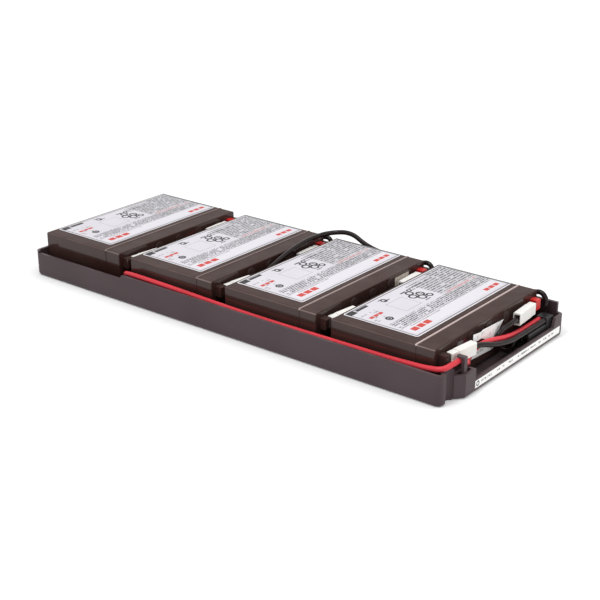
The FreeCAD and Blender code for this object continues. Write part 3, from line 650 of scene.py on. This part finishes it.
class CARTRIDGE_OT_leads(bpy.types.Operator):
    """Finishes the series jumpers and the two output leads"""
    bl_idname = "cartridge.leads"
    bl_label = "Leads"

    def execute(self, context):
        tints = colours()
        for name, tint, rough, nodes in (
                ("lead_red", tuple(tints.red_lead), 0.30, ["red_lead"]),
                ("lead_black", tuple(tints.black_lead), 0.12,
                 ["jumper_1_2", "jumper_2_3", "jumper_3_4", "black_lead"])):
            mat, tree, shader, place = finish(name, rough, Specular_IOR_Level=0.2)
            skin, tone = moulded(tree, place, darker(tint, 0.86), tint,
                                 Grain=1100.0, Drift=40.0, Scuff=0.6)
            paint(tree, shader, lay(tree, skin["Scuffs"], 0.2, tone, lighter(tint, 0.06)),
                  remap(tree, skin["Tone"], 0, 1, rough - 0.05, rough + 0.06))
            raise_skin(tree, shader, skin["Height"], 0.04)
            wear(mat, *nodes)
        return {"FINISHED"}


class CARTRIDGE_OT_plug(bpy.types.Operator):
    """Finishes the output plug and its boot"""
    bl_idname = "cartridge.plug"
    bl_label = "Output plug"

    def execute(self, context):
        tint = tuple(colours().plug)
        mat, tree, shader, place = finish("plug_plastic", 0.34, Specular_IOR_Level=0.3)
        skin, tone = moulded(tree, place, darker(tint, 0.5), tint,
                             Grain=1000.0, Drift=40.0, Scuff=0.6)
        paint(tree, shader, tone)
        raise_skin(tree, shader, skin["Height"], 0.2)
        wear(mat, "plug_housing", "plug_boot")
        return {"FINISHED"}


# Papers that stand upright: node, row pitch, word, fill and strength of their print
PAPERS = (("end_strip", 2.6, 3.6, 0.46, 0.8), ("lid_sticker", 4.0, 4.0, 0.44, 0.5),
          ("lead_tag", 5.0, 3.0, 0.5, 0.35))
# Reach of the print, as shares of a paper's height and length
PRINT_UP = (0.25, 0.8)
PRINT_ALONG = (0.12, 0.94)
# On the end strip the rows start past a ring, in millimetres: y, radius, line
STRIP_ROWS = 7.0
STRIP_RING = (3.6, 1.7, 1.0)


class CARTRIDGE_OT_paper(bpy.types.Operator):
    """Finishes the tag, the lid sticker, the end strip and the tape"""
    bl_idname = "cartridge.paper"
    bl_label = "Paper and tape"

    def execute(self, context):
        tints = colours()
        for node, *text in PAPERS:
            low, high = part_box(node)
            tall, wide = (high.z - low.z) / MM, (high.y - low.y) / MM
            mat, tree, shader, place = finish(node + "_paper", 0.55)
            local = split(tree, place)
            up = calc(tree, "DIVIDE", calc(tree, "SUBTRACT", local[Z], low.z), MM)
            along = calc(tree, "DIVIDE", calc(tree, "SUBTRACT", local[Y], low.y), MM)
            spot = join(tree, up, along, 0.0)
            is_strip = node == "end_strip"
            start = STRIP_ROWS if is_strip else wide * PRINT_ALONG[0]
            marks = [small_print(tree, spot, tall * PRINT_UP[0], tall * PRINT_UP[1], start,
                                 wide * PRINT_ALONG[1], *text)]
            if is_strip:
                marks.append(ring(tree, spot, tall / 2, *STRIP_RING))
            fibre = noise(tree, place, 500.0, detail=5.0, rough=0.6)
            ground = blend(tree, remap(tree, fibre, *SPREAD), darker(tints.paper, 0.93),
                           tuple(tints.paper))
            paint(tree, shader, blend(tree, any_of(tree, marks), ground, tuple(tints.ink)))
            raise_skin(tree, shader, fibre, 0.12)
            wear(mat, node)

        mat, tree, shader, place = finish("tape_tan", 0.7)
        crepe = noise(tree, drawn(tree, place, z=0.12), 900.0, detail=4.0, rough=0.65)
        paint(tree, shader, blend(tree, remap(tree, crepe, *SPREAD),
                                  darker(tints.tape, 0.7), lighter(tints.tape, 0.05)))
        raise_skin(tree, shader, crepe, 0.5, COARSE_BUMP)
        wear(mat, "tape_patch")
        return {"FINISHED"}


# ---- stage, in metres ----------------------------------------------------------------------
FLOOR_HALF = 6.0
# Glow of the floor where it is seen: it rises over this reach from the middle of the object
GLOW_REACH = (0.35, 1.5)
GLOW_STRENGTH = (0.12, 0.36)
# Lamps: name, power, shape, sides or diameter, place; each looks at the origin
LAMPS = (("key", "key_power", "RECTANGLE", (1.2, 0.9), (0.25, -0.05, 1.25)),
         ("sparkle", "sparkle_power", "DISK", (0.28,), (0.05, -0.60, 1.15)),
         ("side", "side_power", "DISK", (0.8,), (1.25, 0.25, 0.30)))
CAMERA_PLACE = Vector((0.6333, -0.7700, 0.4087))
CAMERA_AIM = Vector((0.0382, -0.0259, 0.0200))
CAMERA_ROLL = math.radians(-0.147)
CAMERA_LENS, CAMERA_SENSOR = 74.87, 36.0        # in millimetres


def make_floor(scene):
    shape = bmesh.new()
    bmesh.ops.create_grid(shape, x_segments=1, y_segments=1, size=FLOOR_HALF)
    mesh = bpy.data.meshes.new("floor")
    shape.to_mesh(mesh)
    shape.free()
    floor = bpy.data.objects.new("floor", mesh)
    scene.collection.objects.link(floor)

    tint = tuple(colours().floor)
    mat, tree, shader, place = finish("floor_pale", 0.9, Specular_IOR_Level=0.0)
    paint(tree, shader, blend(tree, noise(tree, place, 3.0), darker(tint, 0.995), tint))
    ray = put(tree, "LightPath").outputs
    seen = calc(tree, "MAXIMUM", ray["Is Camera Ray"], ray["Is Glossy Ray"])
    level = remap(tree, length(tree, place), *GLOW_REACH, *GLOW_STRENGTH)
    glow = put(tree, "Emission", {"Color": (1.0, 1.0, 1.0),
                                  "Strength": calc(tree, "MULTIPLY", seen, level)})
    both = put(tree, "AddShader", {0: shader.outputs[0], 1: glow.outputs[0]})
    end = next(n for n in tree.nodes if n.type == "OUTPUT_MATERIAL")
    tree.links.new(both.outputs[0], end.inputs["Surface"])
    mesh.materials.append(mat)


def make_room(scene):
    """White room: soft light on the object, and pure white where it is seen."""
    world = bpy.data.worlds.new("studio")
    scene.world = world
    world.use_nodes = True
    tree = world.node_tree
    ray = put(tree, "LightPath").outputs
    seen = any_of(tree, [ray["Is Camera Ray"], ray["Is Glossy Ray"],
                         ray["Is Transmission Ray"]])
    strength = remap(tree, seen, 0, 1, sizes().room_light, 1.0)
    feed_all(tree, tree.nodes["Background"], {"Color": (1.0, 1.0, 1.0), "Strength": strength})


def hang_lamp(scene, name, power, shape, sides, place):
    light = bpy.data.lights.new(name, "AREA")
    light.shape = shape
    light.size = sides[0]
    light.size_y = sides[-1]
    light.energy = getattr(sizes(), power)
    lamp = bpy.data.objects.new(name, light)
    lamp.location = place
    lamp.rotation_mode = "QUATERNION"
    lamp.rotation_quaternion = (-lamp.location).to_track_quat("-Z", "Y")
    scene.collection.objects.link(lamp)


def set_camera(scene):
    camera = bpy.data.cameras.new("camera")
    camera.lens = CAMERA_LENS
    camera.sensor_width = CAMERA_SENSOR
    eye = bpy.data.objects.new("camera", camera)
    turn = (CAMERA_AIM - CAMERA_PLACE).to_track_quat("-Z", "Y").to_matrix().to_4x4()
    roll = Matrix.Rotation(CAMERA_ROLL, 4, "Z")
    eye.matrix_world = Matrix.Translation(CAMERA_PLACE) @ turn @ roll
    scene.collection.objects.link(eye)
    scene.camera = eye


class CARTRIDGE_OT_stage(bpy.types.Operator):
    """Sets the floor, the white room, the lamps and the camera"""
    bl_idname = "cartridge.stage"
    bl_label = "Stage"

    def execute(self, context):
        scene = context.scene
        make_floor(scene)
        make_room(scene)
        for lamp in LAMPS:
            hang_lamp(scene, *lamp)
        set_camera(scene)
        scene.view_settings.view_transform = "Standard"
        return {"FINISHED"}


OPERATORS = (CARTRIDGE_OT_effects, CARTRIDGE_OT_stage, CARTRIDGE_OT_tray,
             CARTRIDGE_OT_blocks, CARTRIDGE_OT_labels, CARTRIDGE_OT_terminals,
             CARTRIDGE_OT_leads, CARTRIDGE_OT_plug, CARTRIDGE_OT_paper)


class CARTRIDGE_PT_panel(bpy.types.Panel):
    """Lists the pieces, the colours and the sizes"""
    bl_idname = "CARTRIDGE_PT_panel"
    bl_label = "Battery cartridge"
    bl_space_type = "VIEW_3D"
    bl_region_type = "UI"
    bl_category = "Cartridge"

    def draw(self, context):
        for operator in OPERATORS:
            self.layout.operator(operator.bl_idname)
        for settings in (context.scene.cartridge_colours, context.scene.cartridge_sizes):
            for key in settings.__annotations__:
                self.layout.prop(settings, key)


CLASSES = (CartridgeColours, CartridgeSizes, *OPERATORS, CARTRIDGE_PT_panel)


def register():
    for made in CLASSES:
        bpy.utils.register_class(made)
    bpy.types.Scene.cartridge_colours = bpy.props.PointerProperty(type=CartridgeColours)
    bpy.types.Scene.cartridge_sizes = bpy.props.PointerProperty(type=CartridgeSizes)


def unregister():
    del bpy.types.Scene.cartridge_sizes
    del bpy.types.Scene.cartridge_colours
    for made in reversed(CLASSES):
        bpy.utils.unregister_class(made)


def main():
    register()
    for operator in OPERATORS:
        area, verb = operator.bl_idname.split(".")
        getattr(getattr(bpy.ops, area), verb)()


if __name__ == "__main__":
    main()
